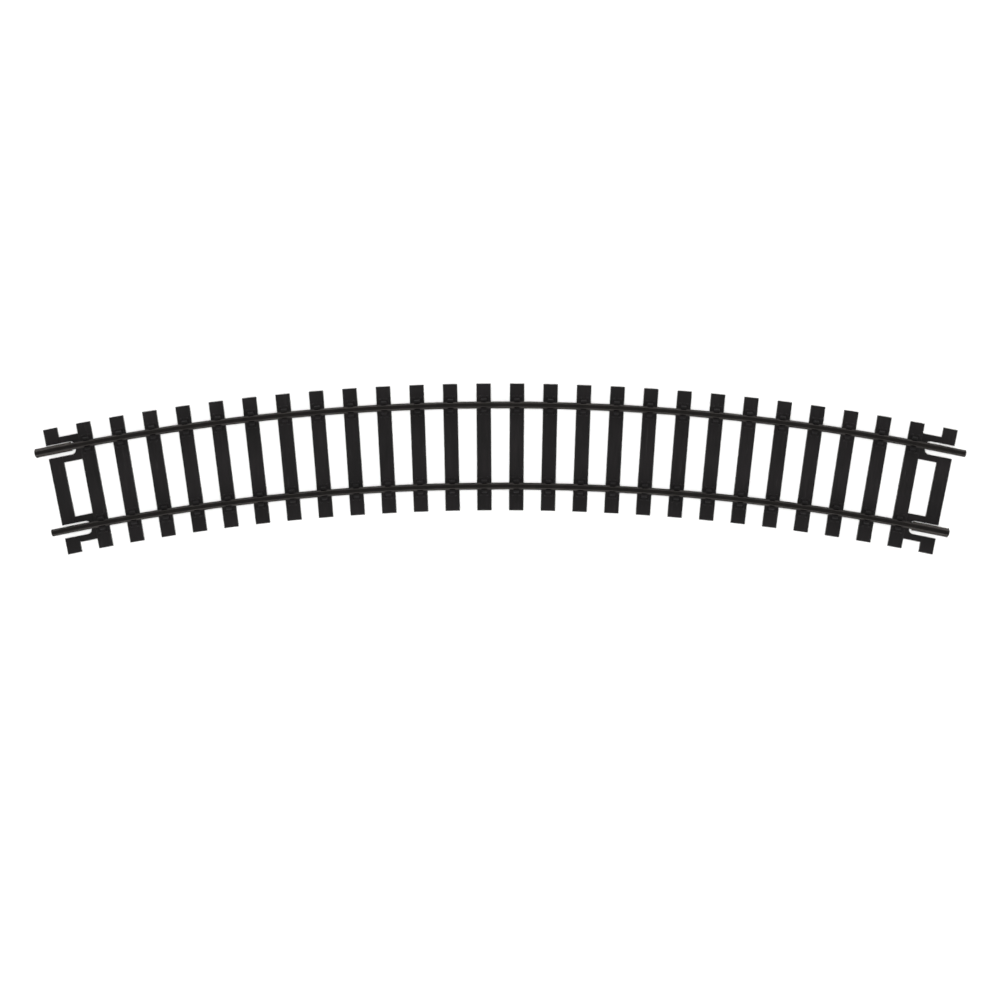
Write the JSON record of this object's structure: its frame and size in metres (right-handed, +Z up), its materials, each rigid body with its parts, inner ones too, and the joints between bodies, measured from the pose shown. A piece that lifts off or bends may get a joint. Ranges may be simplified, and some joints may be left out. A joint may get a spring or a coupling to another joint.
{
  "type": "model track section",
  "caption": "Curved model railway track section: two flat-bottom rails clipped to a moulded ladder of sleepers, with a sliding joiner on one rail at each end.",
  "frame": {"origin": "middle of the footprint's bounding box, at the underside of the sleepers", "axes": "+X along the chord of the curve, +Y towards the outside of the curve, +Z up from the baseboard"},
  "size_m": [0.201, 0.037, 0.0043],
  "materials": {
    "sleeper_plastic": "matte",
    "rail_metal": "satin",
    "joiner_metal": "satin"
  },
  "bodies": {
    "track": {"sleeper_base": "sleeper_plastic", "outer_rail": "rail_metal", "inner_rail": "rail_metal"},
    "left_joiner": {"left_rail_joiner": "joiner_metal"},
    "right_joiner": {"right_rail_joiner": "joiner_metal"}
  },
  "joints": [
    {"name": "left_joiner_slide", "type": "slide", "parent": "track", "child": "left_joiner", "axis": [-0.9799, -0.1996, 0], "range_m": [0, 0.0041]},
    {"name": "right_joiner_slide", "type": "slide", "parent": "track", "child": "right_joiner", "axis": [0.9799, -0.1993, 0], "range_m": [0, 0.0041]}
  ]
}
